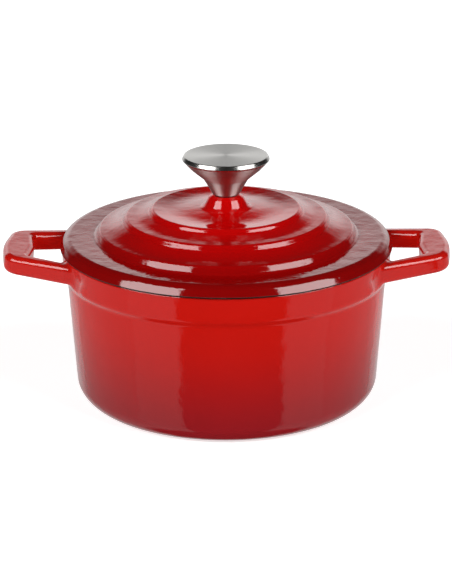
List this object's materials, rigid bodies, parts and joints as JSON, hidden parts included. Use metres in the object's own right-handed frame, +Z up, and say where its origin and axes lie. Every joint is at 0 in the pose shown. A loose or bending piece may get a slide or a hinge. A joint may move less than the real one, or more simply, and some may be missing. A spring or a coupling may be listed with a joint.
{
  "type": "cast iron dutch oven",
  "caption": "Small round enamelled cast iron pot with loop handles and a stepped lid that lifts off by a flared steel knob.",
  "frame": {"origin": "centre of the foot ring, on the surface that the pot stands on", "axes": "+Z up along the pot's axis, +X and -X out along the two loop handles"},
  "size_m": [0.256, 0.1898, 0.1415],
  "materials": {
    "bare_iron": "ground, oiled",
    "red_enamel": "high gloss",
    "cream_enamel": "gloss",
    "satin_steel": "satin",
    "brushed_steel": "brushed",
    "plain_steel": "plain",
    "gasket": "matt"
  },
  "bodies": {
    "pot": {"pot_casting": "bare_iron", "pot_outer_enamel": "red_enamel", "pot_inner_enamel": "cream_enamel"},
    "lid": {"lid_casting": "bare_iron", "lid_outer_enamel": "red_enamel", "lid_inner_enamel": "cream_enamel", "knob_shell": "satin_steel", "knob_top_disc": "brushed_steel", "knob_insert": "plain_steel", "knob_gasket": "gasket", "knob_screw": "plain_steel", "knob_flat_washer": "plain_steel", "knob_lock_washer": "plain_steel"}
  },
  "joints": [
    {"name": "lid_lift", "type": "slide", "parent": "pot", "child": "lid", "axis": [0, 0, 1], "range_m": [0, 0.12]}
  ]
}
